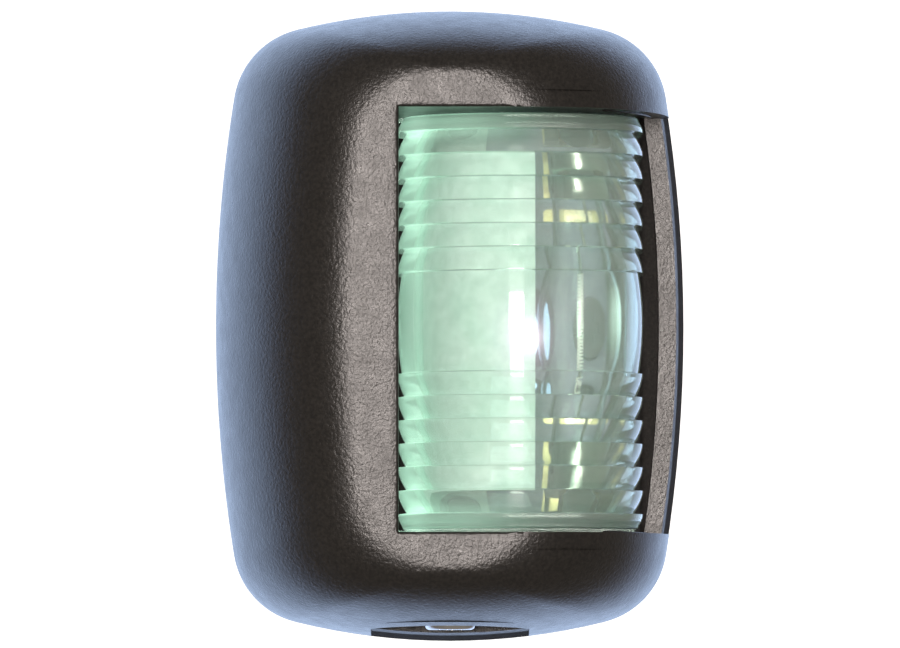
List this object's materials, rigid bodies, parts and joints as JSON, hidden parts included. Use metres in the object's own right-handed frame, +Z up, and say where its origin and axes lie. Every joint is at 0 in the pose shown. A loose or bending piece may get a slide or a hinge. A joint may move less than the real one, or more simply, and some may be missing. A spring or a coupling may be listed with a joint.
{
  "type": "navigation light",
  "caption": "Small starboard sidelight for a vertical face: black bowed hood over a shallow base, green stepped drum lens open towards the bow, lamp inside.",
  "frame": {"origin": "middle of the mounting face, at the back of the gasket", "axes": "+Y out of the back into the mounting surface, +Z up, +X towards the bow; the light faces -Y"},
  "size_m": [0.0596, 0.04, 0.08],
  "materials": {
    "black_abs": "moulded ABS, satin black, fine spark-eroded texture",
    "green_polycarbonate": "clear green moulded polycarbonate, polished",
    "black_epdm": "cellular EPDM rubber, black",
    "black_nylon": "glass-filled nylon, dark grey, moulded",
    "white_enamel": "white stoved enamel on aluminium sheet",
    "phosphor_bronze": "rolled phosphor bronze spring strip",
    "nickel_brass": "turned brass, nickel flashed",
    "stainless_steel": "turned A4 stainless steel",
    "lamp_glass": "clear blown lamp glass",
    "lamp_cap": "nickel-plated drawn cap",
    "tungsten": "coiled tungsten, lit"
  },
  "bodies": {
    "base": {"mounting_gasket": "black_epdm", "base_plate": "black_abs", "cable_grommet": "black_epdm", "hood_screw_insert": "nickel_brass", "lens_seal": "black_epdm", "lamp_carrier": "black_nylon", "sector_screen": "white_enamel", "carrier_screws": "stainless_steel", "upper_contact": "phosphor_bronze", "lower_contact": "phosphor_bronze", "contact_rivets": "nickel_brass", "terminal_clamps": "nickel_brass", "terminal_screws": "nickel_brass"},
    "lamp": {"bulb_glass": "lamp_glass", "bulb_cap_upper": "lamp_cap", "bulb_cap_lower": "lamp_cap", "bulb_filament": "tungsten", "filament_supports": "lamp_cap"},
    "lens_body": {"lens": "green_polycarbonate"},
    "hood_body": {"hood": "black_abs"},
    "screw_washer": {"hood_screw_washer": "stainless_steel"},
    "screw": {"hood_screw": "stainless_steel"}
  },
  "joints": [
    {"name": "lamp_release", "type": "slide", "parent": "base", "child": "lamp", "axis": [0, -1, 0], "range_m": [0, 0.03]},
    {"name": "lens_release", "type": "slide", "parent": "lamp", "child": "lens_body", "axis": [0, -1, 0], "range_m": [0, 0.032]},
    {"name": "hood_release", "type": "slide", "parent": "lens_body", "child": "hood_body", "axis": [0, -1, 0], "range_m": [0, 0.036]},
    {"name": "hood_screw_travel", "type": "slide", "parent": "base", "child": "screw_washer", "axis": [0, 0, -1], "range_m": [0, 0.003]},
    {"name": "hood_screw_turn", "type": "hinge", "parent": "screw_washer", "child": "screw", "pos_m": [0, -0.019, -0.036], "axis": [0, 0, -1], "range_deg": [0, 1800]}
  ],
  "couplings": [
    {"joint": "hood_screw_turn", "follows": "hood_screw_travel", "rad_per_m": 10472}
  ]
}
